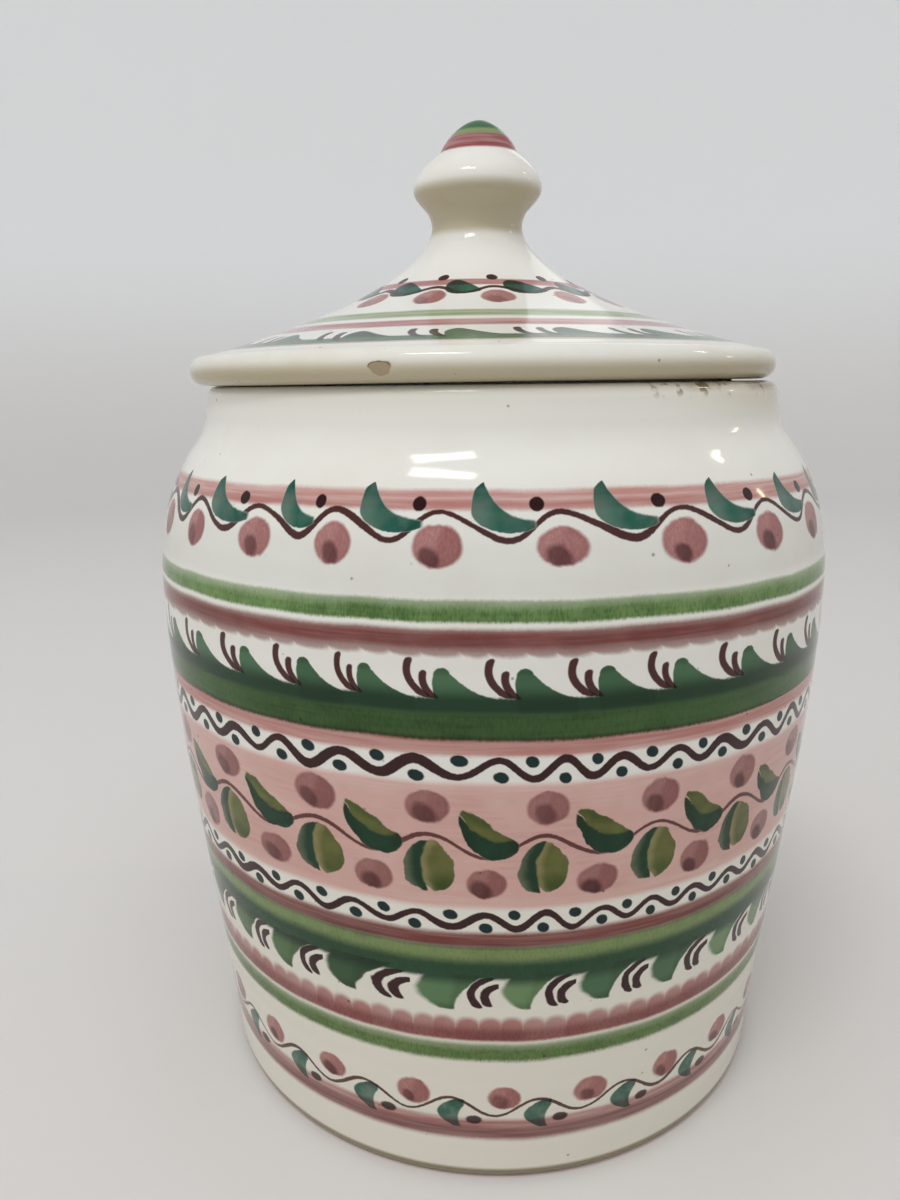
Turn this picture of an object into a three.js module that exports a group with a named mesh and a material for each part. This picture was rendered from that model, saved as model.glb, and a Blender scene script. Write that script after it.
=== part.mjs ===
// Lidded earthenware jar: a thrown pot and a loose lid whose knob is thrown in one with it.
// Millimetres, +Z up, origin at the middle of the foot. Every profile is (radius, height).
import * as THREE from 'three';

// Pot: outside
const footRadius = 76.8;
const footEdge = 2.6;
const footRingWidth = 9;
const footRecess = 1.6;
const bellyRadius = 88;
const bellyHeight = 132;
const shoulderRise = 37.8;
const neckRootRadius = 75.2;
const neckRise = 11.5;
const lipRadius = 73.8;
const lipEdge = 2.4;

// Pot: how the outline leaves the foot, the belly and the neck
const footSlopeRise = 42;
const footSlopeRun = 3;
const bellyPullDown = 42;
const bellyPullUp = 18;
const shoulderSlopeDrop = 6.8;
const shoulderSlopeRun = 7.3;

// Pot: inside
const wall = 6;
const floorThickness = 8;
const floorFillet = 11;

// Lid: rim, and the flange that drops into the mouth
const lidRadius = 75.1;
const rimThickness = 7.1;
const seatGap = 0.3;
const flangePlay = 3;
const flangeGap = 0.6;
const flangeWall = 4.5;
const flangeDepth = 10;
const flangeEdge = 1.8;
const lidWall = 6.4;
const crownRadius = 15;

// Lid: cone and knob
const coneRise = 31.3;
const coneRimRun = 21.6;
const coneRimRise = 5.3;
const coneWaistDrop = 13.5;
const coneWaistRun = 3.2;
const waistRadius = 11.25;
const knobRadius = 16.5;
const knobUnderRise = 9.4;
const knobUnderPull = 3.2;
const knobWaistPull = 4.6;
const knobTopRise = 8.6;
const kneeRadius = 9.6;
const kneeRun = 1;
const kneeDrop = 1.8;
const knobTopPull = 4;
const finialRise = 7.8;
const finialSide = new THREE.Vector2(-0.7, 3.3);
const finialTopRun = 4.2;
const finialTopDrop = 0.4;

// How finely the round stretches are divided
const turnSegments = 48;
const longCurve = 9;
const shortCurve = 5;

// Heights and fits that follow from the sizes above
const neckRootHeight = bellyHeight + shoulderRise;
const lipHeight = neckRootHeight + neckRise;
const mouthRadius = lipRadius - wall;
const rimBottom = lipHeight + seatGap;
const rimTop = rimBottom + rimThickness;
const waistHeight = rimTop + coneRise;
const knobHeight = waistHeight + knobUnderRise;
const kneeHeight = knobHeight + knobTopRise;
const tipHeight = kneeHeight + finialRise;
const flangeRadius = mouthRadius - flangePlay;
const lidNudge = flangePlay - flangeGap;

const glaze = { roughness: 0.16, metalness: 0 };
const potMaterial = new THREE.MeshStandardMaterial({ color: 0xe9e4d6, ...glaze });
const lidMaterial = new THREE.MeshStandardMaterial({ color: 0xe6dfcd, ...glaze });

const point = (radius, height) => new THREE.Vector2(radius, height);
const bezier = (start, startPull, endPull, end) => new THREE.CubicBezierCurve(start, startPull, endPull, end);

// A quarter of an ellipse about a centre, from one angle to another in degrees
function roundEdge(center, across, up, fromAngle, toAngle) {
  const start = THREE.MathUtils.degToRad(fromAngle);
  const end = THREE.MathUtils.degToRad(toAngle);
  const clockwise = toAngle < fromAngle;
  const arc = new THREE.EllipseCurve(center.x, center.y, across, up, start, end, clockwise);
  return arc.getPoints(shortCurve - 1);
}

// Points a fixed distance inside a curve that climbs with the body on its left
function insideOf(curve, distance, divisions) {
  const points = [];
  for (let step = 0; step <= divisions; step += 1) {
    const along = step / divisions;
    const tangent = curve.getTangent(along);
    const inward = point(-tangent.y, tangent.x);
    points.push(curve.getPoint(along).addScaledVector(inward, distance));
  }
  return points;
}

// Turn a profile into a solid about Z
function turned(name, profile, material) {
  const distinct = profile.filter((p, i) => i === 0 || p.distanceTo(profile[i - 1]) > 1e-4);
  const geometry = new THREE.LatheGeometry(distinct, turnSegments);
  geometry.rotateX(Math.PI / 2);
  const mesh = new THREE.Mesh(geometry, material);
  mesh.name = name;
  return mesh;
}

// The side from the foot's edge up to the belly
function potSide() {
  return bezier(
    point(footRadius, footEdge),
    point(footRadius + footSlopeRun, footEdge + footSlopeRise),
    point(bellyRadius, bellyHeight - bellyPullDown),
    point(bellyRadius, bellyHeight),
  );
}

// The shoulder from the belly up to the neck
function potShoulder() {
  return bezier(
    point(bellyRadius, bellyHeight),
    point(bellyRadius, bellyHeight + bellyPullUp),
    point(neckRootRadius + shoulderSlopeRun, neckRootHeight - shoulderSlopeDrop),
    point(neckRootRadius, neckRootHeight),
  );
}

function potOutside() {
  const footFlat = footRadius - footEdge;
  const recessRadius = footFlat - footRingWidth;
  const lipOuter = point(lipRadius - lipEdge, lipHeight - lipEdge);
  return [
    point(0, footRecess),
    point(recessRadius - footRecess, footRecess),
    point(recessRadius, 0),
    ...roundEdge(point(footFlat, footEdge), footEdge, footEdge, -90, 0),
    ...potSide().getPoints(longCurve),
    ...potShoulder().getPoints(longCurve),
    ...roundEdge(lipOuter, lipEdge, lipEdge, 0, 90),
  ];
}

function potInside() {
  const lipInner = point(mouthRadius + lipEdge, lipHeight - lipEdge);
  const filletTop = floorThickness + floorFillet;
  const shoulder = insideOf(potShoulder(), wall, longCurve).reverse();
  const side = insideOf(potSide(), wall, longCurve).reverse();
  const wallPoints = side.filter((p) => p.y > filletTop);
  const wallFoot = wallPoints[wallPoints.length - 1].x;
  return [
    ...roundEdge(lipInner, lipEdge, lipEdge, 90, 180),
    point(mouthRadius, neckRootHeight),
    ...shoulder,
    ...wallPoints,
    ...roundEdge(point(wallFoot - floorFillet, filletTop), floorFillet, floorFillet, 0, -90),
    point(0, floorThickness),
  ];
}

function lidCone() {
  const edge = rimThickness / 2;
  return bezier(
    point(lidRadius - edge, rimTop),
    point(lidRadius - edge - coneRimRun, rimTop + coneRimRise),
    point(waistRadius + coneWaistRun, waistHeight - coneWaistDrop),
    point(waistRadius, waistHeight),
  );
}

// Hollow under the lid, then its flange down into the mouth and back up to the seat
function lidUnderside() {
  const flangeInner = flangeRadius - flangeWall;
  const flangeTip = point(flangeRadius - flangeWall / 2, rimBottom - flangeDepth + flangeEdge);
  const hollow = insideOf(lidCone(), lidWall, 2 * longCurve).reverse();
  const ceiling = hollow.filter((p) => p.x > crownRadius && p.x < flangeInner);
  return [
    point(0, ceiling[0].y),
    ...ceiling.filter((p, i) => i % 2 === 0),
    point(flangeInner, rimBottom),
    ...roundEdge(flangeTip, flangeWall / 2, flangeEdge, 180, 360),
    point(flangeRadius, rimBottom),
  ];
}

function lidOutside() {
  const edge = rimThickness / 2;
  const rimMiddle = point(lidRadius - edge, rimBottom + edge);
  const waist = point(waistRadius, waistHeight);
  const knobEdge = point(knobRadius, knobHeight);
  const knee = point(kneeRadius, kneeHeight);
  const under = bezier(
    waist,
    point(waistRadius, waistHeight + knobWaistPull),
    point(knobRadius, knobHeight - knobUnderPull),
    knobEdge,
  );
  const collar = bezier(
    knobEdge,
    point(knobRadius, knobHeight + knobTopPull),
    point(kneeRadius + kneeRun, kneeHeight - kneeDrop),
    knee,
  );
  const finial = bezier(
    knee,
    knee.clone().add(finialSide),
    point(finialTopRun, tipHeight - finialTopDrop),
    point(0, tipHeight),
  );
  return [
    ...roundEdge(rimMiddle, edge, edge, -90, 0),
    ...roundEdge(rimMiddle, edge, edge, 0, 90),
    ...lidCone().getPoints(longCurve),
    ...under.getPoints(shortCurve),
    ...collar.getPoints(shortCurve),
    ...finial.getPoints(shortCurve),
  ];
}

const jarBody = turned('jar_body', [...potOutside(), ...potInside()], potMaterial);
const lid = turned('lid', [...lidUnderside(), ...lidOutside()], lidMaterial);

// The loose lid lies against one side of the mouth
lid.position.x = -lidNudge;

const jar = new THREE.Group();
jar.add(jarBody, lid);

export default jar;
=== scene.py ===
"""A hand-painted earthenware jar with a loose lid: two thrown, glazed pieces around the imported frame."""
import math

import bpy
import numpy as np
from mathutils import Matrix, Vector


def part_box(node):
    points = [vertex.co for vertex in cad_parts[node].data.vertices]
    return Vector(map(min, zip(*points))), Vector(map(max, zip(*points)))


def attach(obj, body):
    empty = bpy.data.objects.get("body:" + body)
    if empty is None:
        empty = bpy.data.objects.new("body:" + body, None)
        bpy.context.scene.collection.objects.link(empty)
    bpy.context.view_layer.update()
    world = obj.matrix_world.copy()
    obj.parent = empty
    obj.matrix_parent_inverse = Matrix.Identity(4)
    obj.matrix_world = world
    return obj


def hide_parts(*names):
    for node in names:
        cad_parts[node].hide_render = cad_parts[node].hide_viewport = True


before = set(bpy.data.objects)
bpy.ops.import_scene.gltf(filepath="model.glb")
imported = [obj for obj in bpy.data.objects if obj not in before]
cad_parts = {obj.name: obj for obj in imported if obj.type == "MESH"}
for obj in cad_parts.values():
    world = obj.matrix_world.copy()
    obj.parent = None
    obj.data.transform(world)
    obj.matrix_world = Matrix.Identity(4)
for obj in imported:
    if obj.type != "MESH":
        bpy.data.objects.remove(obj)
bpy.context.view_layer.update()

MM = 0.001

# Main sizes in millimetres, read from the frame
POT_LOW, POT_HIGH = [[value / MM for value in corner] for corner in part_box("jar_body")]
LID_LOW, LID_HIGH = [[value / MM for value in corner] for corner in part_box("lid")]
BELLY_RADIUS = (POT_HIGH[0] - POT_LOW[0]) / 2
LIP_HEIGHT = POT_HIGH[2]
LID_RADIUS = (LID_HIGH[0] - LID_LOW[0]) / 2
LID_X = (LID_HIGH[0] + LID_LOW[0]) / 2
TIP_HEIGHT = LID_HIGH[2]

# Pot outline, the same values as the solid
FOOT_RADIUS, FOOT_EDGE, FOOT_RING, FOOT_RECESS = 76.8, 2.6, 9.0, 1.6
BELLY_HEIGHT, NECK_ROOT_HEIGHT, NECK_ROOT_RADIUS = 132.0, 169.8, 75.2
LIP_RADIUS, LIP_EDGE = 73.8, 2.4
WALL, FLOOR, FLOOR_FILLET = 6.0, 8.0, 11.0
MOUTH_RADIUS = LIP_RADIUS - WALL
NECK_ROOT_FILLET = 3.0
FOOT_FLARE, FOOT_PULL, BELLY_PULL_DOWN, BELLY_PULL_UP = 3, 42, 42, 18
NECK_PULL_OUT, NECK_PULL_DOWN = 7.3, 6.8

# Lid outline, the same values as the solid apart from the knee and the two curves that meet there
RIM_BOTTOM, RIM_THICKNESS = LIP_HEIGHT + 0.3, 7.1
RIM_EDGE = RIM_THICKNESS / 2
RIM_TOP = RIM_BOTTOM + RIM_THICKNESS
CONE_RADIUS = LID_RADIUS - RIM_EDGE
FLANGE_RADIUS, FLANGE_WALL, FLANGE_DEPTH = MOUTH_RADIUS - 3.0, 4.5, 10.0
FLANGE_EDGE, LID_WALL, CROWN_RADIUS = 1.8, 6.4, 15.0
WAIST_RADIUS, WAIST_HEIGHT = 11.25, RIM_TOP + 31.3
KNOB_RADIUS, KNOB_HEIGHT = 16.5, WAIST_HEIGHT + 9.4
KNEE_RADIUS, KNEE_HEIGHT = 9.9, KNOB_HEIGHT + 8.3
RIM_PULL_IN, RIM_PULL_UP, WAIST_PULL_OUT, WAIST_PULL_DOWN = 21.6, 5.3, 3.2, 13.5
KNOB_WAIST_PULL, KNOB_UNDER_PULL, KNOB_TOP_PULL = 4.6, 3.2, 3.2
KNEE_PULL_OUT, KNEE_PULL_DOWN = 3, 2
FINIAL_TAPER, FINIAL_PULL, TIP_PULL, TIP_DROP = 0.95, 3.2, 4.4, 0.2
WAIST_FILLET = 4.0

# How finely the thrown pieces are divided: steps in a turn, and millimetres along an outline
POT_TURNS, LID_TURNS = 288, 288
WALL_STEP, LID_STEP, RIM_STEP, FOOT_STEP, HIDDEN_STEP = 1.1, 0.8, 0.7, 2.0, 2.2


# Outlines: lists of (radius, height) in millimetres

def bezier(start, start_pull, end_pull, end, count=60):
    t = np.linspace(0, 1, count)[:, None]
    points = [np.array(p, float) for p in (start, start_pull, end_pull, end)]
    weights = [(1 - t) ** 3, 3 * (1 - t) ** 2 * t, 3 * (1 - t) * t**2, t**3]
    return sum(w * p for w, p in zip(weights, points))


def arc(center, across, up, from_angle, to_angle, count=24):
    angle = np.radians(np.linspace(from_angle, to_angle, count))
    return np.stack([center[0] + across * np.cos(angle), center[1] + up * np.sin(angle)], -1)


def inside_of(curve, distance):
    tangent = np.gradient(curve, axis=0)
    tangent /= np.linalg.norm(tangent, axis=1)[:, None]
    return curve + distance * np.stack([-tangent[:, 1], tangent[:, 0]], -1)


def evenly(points, step):
    points = np.asarray(points, float)
    lengths = np.linalg.norm(np.diff(points, axis=0), axis=1)
    along = np.concatenate([[0], np.cumsum(lengths)])
    count = max(2, int(round(along[-1] / step)) + 1)
    places = np.linspace(0, along[-1], count)
    return np.stack([np.interp(places, along, points[:, axis]) for axis in (0, 1)], -1)


def pot_side():
    return bezier(
        (FOOT_RADIUS, FOOT_EDGE),
        (FOOT_RADIUS + FOOT_FLARE, FOOT_EDGE + FOOT_PULL),
        (BELLY_RADIUS, BELLY_HEIGHT - BELLY_PULL_DOWN),
        (BELLY_RADIUS, BELLY_HEIGHT),
    )


def pot_shoulder():
    return bezier(
        (BELLY_RADIUS, BELLY_HEIGHT),
        (BELLY_RADIUS, BELLY_HEIGHT + BELLY_PULL_UP),
        (NECK_ROOT_RADIUS + NECK_PULL_OUT, NECK_ROOT_HEIGHT - NECK_PULL_DOWN),
        (NECK_ROOT_RADIUS, NECK_ROOT_HEIGHT),
    )


def soften(points, corner, reach):
    """Round the one corner of an outline near a point by averaging along it."""
    result = points.copy()
    near = np.linalg.norm(points - np.array(corner), axis=1) < reach
    for _ in range(12):
        middle = (result[:-2] + 2 * result[1:-1] + result[2:]) / 4
        result[1:-1] = np.where(near[1:-1, None], middle, result[1:-1])
    return result


def pot_sections():
    """The pot's outline from the middle of the foot, over the lip, to the middle of the floor."""
    foot_flat = FOOT_RADIUS - FOOT_EDGE
    recess = foot_flat - FOOT_RING
    shoulder, side = pot_shoulder(), pot_side()
    lip_outer = (LIP_RADIUS - LIP_EDGE, LIP_HEIGHT - LIP_EDGE)
    lip_inner = (MOUTH_RADIUS + LIP_EDGE, LIP_HEIGHT - LIP_EDGE)
    fillet_top = FLOOR + FLOOR_FILLET
    wall_inside = inside_of(side, WALL)[::-1]
    wall_inside = wall_inside[wall_inside[:, 1] > fillet_top]
    wall_foot = wall_inside[-1, 0]
    under = np.vstack([
        [(0, FOOT_RECESS), (recess - FOOT_RECESS, FOOT_RECESS), (recess, 0)],
        arc((foot_flat, FOOT_EDGE), FOOT_EDGE, FOOT_EDGE, -90, -35),
    ])
    outside = np.vstack([
        arc((foot_flat, FOOT_EDGE), FOOT_EDGE, FOOT_EDGE, -35, 0),
        side[1:],
        shoulder[1:],
        arc(lip_outer, LIP_EDGE, LIP_EDGE, 0, 90),
    ])
    outside = soften(evenly(outside, WALL_STEP), (NECK_ROOT_RADIUS, NECK_ROOT_HEIGHT), NECK_ROOT_FILLET)
    inside = np.vstack([
        arc(lip_inner, LIP_EDGE, LIP_EDGE, 90, 180),
        [(MOUTH_RADIUS, NECK_ROOT_HEIGHT)],
        inside_of(shoulder, WALL)[::-1],
        wall_inside,
        arc((wall_foot - FLOOR_FILLET, fillet_top), FLOOR_FILLET, FLOOR_FILLET, 0, -90),
        [(0, FLOOR)],
    ])
    under, inside = evenly(under, FOOT_STEP), evenly(inside, HIDDEN_STEP)
    return [("under", under), ("outside", outside), ("inside", inside)]


def lid_cone():
    return bezier(
        (CONE_RADIUS, RIM_TOP),
        (CONE_RADIUS - RIM_PULL_IN, RIM_TOP + RIM_PULL_UP),
        (WAIST_RADIUS + WAIST_PULL_OUT, WAIST_HEIGHT - WAIST_PULL_DOWN),
        (WAIST_RADIUS, WAIST_HEIGHT),
    )


def lid_sections():
    """The lid's outline from the middle of its hollow, round the flange and rim, to the knob's tip."""
    flange_inner = FLANGE_RADIUS - FLANGE_WALL
    flange_tip = (FLANGE_RADIUS - FLANGE_WALL / 2, RIM_BOTTOM - FLANGE_DEPTH + FLANGE_EDGE)
    rim_middle = (CONE_RADIUS, RIM_BOTTOM + RIM_EDGE)
    ceiling = inside_of(lid_cone(), LID_WALL)[::-1]
    ceiling = ceiling[(ceiling[:, 0] > CROWN_RADIUS) & (ceiling[:, 0] < flange_inner)]
    under = np.vstack([
        [(0, ceiling[0, 1])],
        ceiling,
        [(flange_inner, RIM_BOTTOM)],
        arc(flange_tip, FLANGE_WALL / 2, FLANGE_EDGE, 180, 360),
        [(FLANGE_RADIUS, RIM_BOTTOM), (CONE_RADIUS, RIM_BOTTOM)],
    ])
    knob_under = bezier(
        (WAIST_RADIUS, WAIST_HEIGHT),
        (WAIST_RADIUS, WAIST_HEIGHT + KNOB_WAIST_PULL),
        (KNOB_RADIUS, KNOB_HEIGHT - KNOB_UNDER_PULL),
        (KNOB_RADIUS, KNOB_HEIGHT),
    )
    collar = bezier(
        (KNOB_RADIUS, KNOB_HEIGHT),
        (KNOB_RADIUS, KNOB_HEIGHT + KNOB_TOP_PULL),
        (KNEE_RADIUS + KNEE_PULL_OUT, KNEE_HEIGHT - KNEE_PULL_DOWN),
        (KNEE_RADIUS, KNEE_HEIGHT),
    )
    finial = bezier(
        (KNEE_RADIUS, KNEE_HEIGHT),
        (KNEE_RADIUS - FINIAL_TAPER, KNEE_HEIGHT + FINIAL_PULL),
        (TIP_PULL, TIP_HEIGHT - TIP_DROP),
        (0, TIP_HEIGHT),
    )
    rim = np.vstack([arc(rim_middle, RIM_EDGE, RIM_EDGE, -90, 90), lid_cone()[1:4]])
    top = evenly(np.vstack([lid_cone()[3:], knob_under[1:], collar[1:], finial[1:]]), LID_STEP)
    top = soften(top, (WAIST_RADIUS, WAIST_HEIGHT), WAIST_FILLET)
    waist = int(np.searchsorted(top[:, 1], WAIST_HEIGHT))
    return [
        ("under", evenly(under, HIDDEN_STEP)),
        ("rim", evenly(rim, RIM_STEP)),
        ("cone", top[: waist + 1]),
        ("knob", top[waist:]),
    ]


# Turning an outline into a mesh

def turned(name, sections, turns, slot_of, shaped, unrolled):
    """A mesh of revolution.

    slot_of gives a ring's material from its section and height, shaped bends the points, and unrolled
    gives a place on the bake map from a section, the share of its length and the share of a turn.
    """
    rings, slots, bands = [], [], []
    for section, points in sections:
        whole = np.linalg.norm(np.diff(points, axis=0), axis=1).sum()
        along = 0.0
        for radius, height in points:
            if rings:
                gap = math.dist(rings[-1], (radius, height))
                if gap < 1e-3:
                    continue
                slots.append(slot_of(section, (rings[-1][1] + height) / 2))
                bands.append((section, along / whole, min(1.0, (along + gap) / whole)))
                along += gap
            rings.append((radius, height))
    rings = np.array(rings)
    angle = 2 * np.pi * np.arange(turns) / turns
    radius, turn = np.meshgrid(rings[:, 0], angle, indexing="ij")
    height = np.repeat(rings[:, 1][:, None], turns, 1)
    grid = shaped(radius, turn, height)
    vertices = [grid[0, 0].tolist()] + grid[1:-1].reshape(-1, 3).tolist() + [grid[-1, 0].tolist()]
    last = len(vertices) - 1
    faces, materials, spots = [], [], []
    for ring, (section, start, end) in enumerate(bands):
        for step in range(turns):
            after = (step + 1) % turns
            low, high = 1 + (ring - 1) * turns, 1 + ring * turns
            if ring == 0:
                face = (0, high + after, high + step)
                corners = [(start, step + 0.5), (end, step + 1), (end, step)]
            elif ring == len(bands) - 1:
                face = (low + step, low + after, last)
                corners = [(start, step), (start, step + 1), (end, step + 0.5)]
            else:
                face = (low + step, low + after, high + after, high + step)
                corners = [(start, step), (start, step + 1), (end, step + 1), (end, step)]
            faces.append(face)
            materials.append(slots[ring])
            second_half = step * 2 >= turns
            spots += [unrolled(section, share, place / turns, second_half) for share, place in corners]
    mesh = bpy.data.meshes.new(name)
    mesh.from_pydata(vertices, [], faces)
    mesh.polygons.foreach_set("material_index", materials)
    mesh.polygons.foreach_set("use_smooth", [True] * len(faces))
    bake_map = mesh.uv_layers.new(name="OFBake")
    bake_map.data.foreach_set("uv", [value for spot in spots for value in spot])
    mesh.update()
    piece = bpy.data.objects.new(name, mesh)
    bpy.context.collection.objects.link(piece)
    return piece


def polar(center, radius, turn):
    """A place on the bake map at a distance and a turn from a disc's center."""
    angle = 2 * math.pi * turn
    return center[0] + radius * math.sin(angle), center[1] - radius * math.cos(angle)


def to_points(radius, turn, height, center=0.0):
    """Metres from a radius, a turn that starts at the front and grows to the right, and a height."""
    across = center + radius * np.sin(turn)
    return np.stack([across, -radius * np.cos(turn), height], -1) * MM


def ease(low, high, value):
    t = np.clip((value - low) / (high - low), 0, 1)
    return t * t * (3 - 2 * t)


# Unevenness of the hand-made pieces: millimetres, and the chip's place as a turn in degrees and a height
RING_PITCH, RING_DEEP, BROAD_PITCH, BROAD_DEEP, OVAL_DEEP = 5.5, 0.05, 16.5, 0.06, 0.12
CHIP_TURN, CHIP_HEIGHT, CHIP_WIDE, CHIP_TALL, CHIP_DEEP = -14.2, 184.4, 2.1, 1.4, 0.4
RIM_LIFT, RIM_SINK, RIM_WAVE, KNOB_LEAN = 0.12, 0.22, 0.08, 0.6


def throwing_rings(turn, height):
    """How far the potter's fingers pressed the wall in, in millimetres."""
    climb = height + turn / (2 * np.pi) * RING_PITCH
    ridge = 0.5 + 0.5 * np.sin(2 * np.pi * climb / RING_PITCH)
    broad = 0.5 + 0.5 * np.sin(2 * np.pi * climb / BROAD_PITCH + 1.1)
    return (RING_DEEP * ridge + BROAD_DEEP * broad) * ease(2, 12, height)


def shape_pot(radius, turn, height):
    oval = OVAL_DEEP * (1 - np.cos(2 * turn + 0.6))
    press = (throwing_rings(turn, height) + oval) * ease(20, 60, radius)
    return to_points(radius - press, turn, height)


def shape_lid(radius, turn, height):
    on_rim = ease(45, 68, radius) * ease(RIM_BOTTOM - 3, RIM_BOTTOM, height)
    right = 0.5 + 0.5 * np.sin(turn)
    lift = RIM_LIFT * right - RIM_SINK * (1 - right) ** 2 + RIM_WAVE * (1 - np.cos(3 * turn + 2.88))
    along = np.radians(CHIP_TURN)
    across = (turn - 2 * np.pi * np.round((turn - along) / (2 * np.pi)) - along) * radius
    chip = np.hypot(across / CHIP_WIDE, (height - CHIP_HEIGHT) / CHIP_TALL)
    dent = CHIP_DEEP * (1 - ease(0.5, 1.1, chip)) * ease(LID_RADIUS - 4, LID_RADIUS - 2, radius)
    lean = ease(RIM_TOP, WAIST_HEIGHT, height) - ease(WAIST_HEIGHT, TIP_HEIGHT, height)
    return to_points(radius - dent, turn, height + lift * on_rim, LID_X - KNOB_LEAN * lean)


# Sums on node sockets, so that the painting reads as formulas

class Field:
    """A number that varies over a surface."""

    def __init__(self, tree, socket):
        self.tree = tree
        self.socket = socket

    def math(self, operation, *others):
        node = self.tree.nodes.new("ShaderNodeMath")
        node.operation = operation
        for place, value in enumerate((self, *others)):
            feed(self.tree, value, node.inputs[place])
        return Field(self.tree, node.outputs[0])

    def __add__(self, other):
        return self.math("ADD", other)

    def __sub__(self, other):
        return self.math("SUBTRACT", other)

    def __mul__(self, other):
        return self.math("MULTIPLY", other)

    def __truediv__(self, other):
        return self.math("DIVIDE", other)

    def __neg__(self):
        return self * -1

    __radd__ = __add__
    __rmul__ = __mul__

    def __rsub__(self, other):
        return self.math("MULTIPLY_ADD", -1, other)

    def above(self, other):
        return self.math("MAXIMUM", other)

    def below(self, other):
        return self.math("MINIMUM", other)

    def size(self):
        return self.math("ABSOLUTE")

    def squared(self):
        return self * self

    def root(self):
        return self.math("SQRT")

    def fading(self):
        """1 at zero, falling away with growing values."""
        return (-self).math("EXPONENT")

    def rise(self, low, high):
        """0 at low, 1 at high and beyond."""
        node = self.tree.nodes.new("ShaderNodeMapRange")
        node.interpolation_type = "SMOOTHSTEP"
        feed(self.tree, self, node.inputs["Value"])
        feed(self.tree, low, node.inputs["From Min"])
        feed(self.tree, high, node.inputs["From Max"])
        return Field(self.tree, node.outputs["Result"])


def feed(tree, value, socket):
    if isinstance(value, Field):
        tree.links.new(value.socket, socket)
    else:
        socket.default_value = value


def mixed(tree, factor, first, second, kind="MIX"):
    """A blend of two colours, each a tuple or a socket."""
    node = tree.nodes.new("ShaderNodeMix")
    node.data_type = "RGBA"
    node.blend_type = kind
    feed(tree, factor, node.inputs["Factor"])
    for socket, value in ((node.inputs[6], first), (node.inputs[7], second)):
        if isinstance(value, tuple):
            socket.default_value = (*value, 1)
        else:
            tree.links.new(value, socket)
    return node.outputs[2]


BLUR = 0.34


def within(distance, blur=BLUR):
    """1 where a distance in millimetres is negative, with a soft edge."""
    return distance.rise(blur / 2, -blur / 2)


# The glaze, and paints: tints that the glaze under them is multiplied by

GLAZE_PALE = (0.765, 0.755, 0.700)
# Warm glaze colour, also used to paint shade where callers ask for it
GLAZE_WARM_AND_SHADE = (0.69, 0.64, 0.525)
# Painted shade: the grey for the upright belly below the shoulder
BELLY_SHADE = (0.91, 0.915, 0.915)
GLAZE_SHINE, GLAZE_IOR = 0.28, 1.5
PEEL_SCALE, PEEL_STRENGTH, PEEL_DEPTH = 0.16, 0.1, 0.0002
CLAY_RED, CLAY_PALE, CLAY_SHADE = (0.50, 0.27, 0.16), (0.60, 0.38, 0.25), (0.62, 0.55, 0.5)
CHIP_CLAY, CHIP_EDGE = (0.37, 0.29, 0.185), (0.35, 0.27, 0.2)
STAIN = (0.48, 0.36, 0.22)
# Painted shade: a warm darkening for the neck's right side, the rim's lower half and sides, the lid's waist
# and the knob's underside
WARM_SHADE = (0.71, 0.665, 0.55)
SPECK, SPECK_SPREAD, SPECK_SIZE = (0.22, 0.17, 0.13), 0.16, 0.42
# Grime, also used for painted shade under the lid's rim and at the foot's edge
GRIME_AND_SHADE = (0.34, 0.30, 0.21)
ROSE = (0.65, 0.325, 0.31)
ROSE_PALE = (0.81, 0.505, 0.49)
ROSE_DEEP = (0.50, 0.20, 0.215)
BERRY = (0.51, 0.215, 0.22)
BERRY_ON_ROSE = (0.50, 0.35, 0.36)
BERRY_SIDE = (0.70, 0.52, 0.55)
BERRY_DROP = (0.26, 0.15, 0.17)
MAROON = (0.265, 0.066, 0.062)
MAROON_DARK = (0.52, 0.45, 0.46)
TIP_RED, TIP_GREEN = (0.36, 0.088, 0.10), (0.16, 0.42, 0.40)
VINE = (0.082, 0.024, 0.022)
VINE_THIN = (0.13, 0.060, 0.050)
VINE_ON_ROSE = (0.19, 0.095, 0.095)
INK = (0.044, 0.010, 0.012)
TEAL = (0.014, 0.135, 0.095)
TEAL_DARK = (0.45, 0.48, 0.50)
DOT = (0.004, 0.028, 0.030)
GRASS, GRASS_LOW = (0.23, 0.38, 0.14), (0.175, 0.30, 0.098)
FERN = (0.064, 0.148, 0.040)
SHADE = (0.36, 0.46, 0.33)
SAGE = (0.080, 0.190, 0.102)
SAGE_PALE = (0.19, 0.34, 0.175)
PINE, PINE_LOW = (0.011, 0.050, 0.020), (0.026, 0.088, 0.042)
MOSS = (0.265, 0.37, 0.16)
OLIVE = (0.195, 0.33, 0.090)
OLIVE_PALE = (0.40, 0.55, 0.26)
OLIVE_DARK = (0.38, 0.55, 0.34)
SLATE = (0.20, 0.37, 0.26)
CRESCENT = (0.008, 0.10, 0.045)

# How far the painted rings sink at the sides, in millimetres
SAG_RIGHT, SAG_LEFT = 1.3, 0.7


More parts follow.
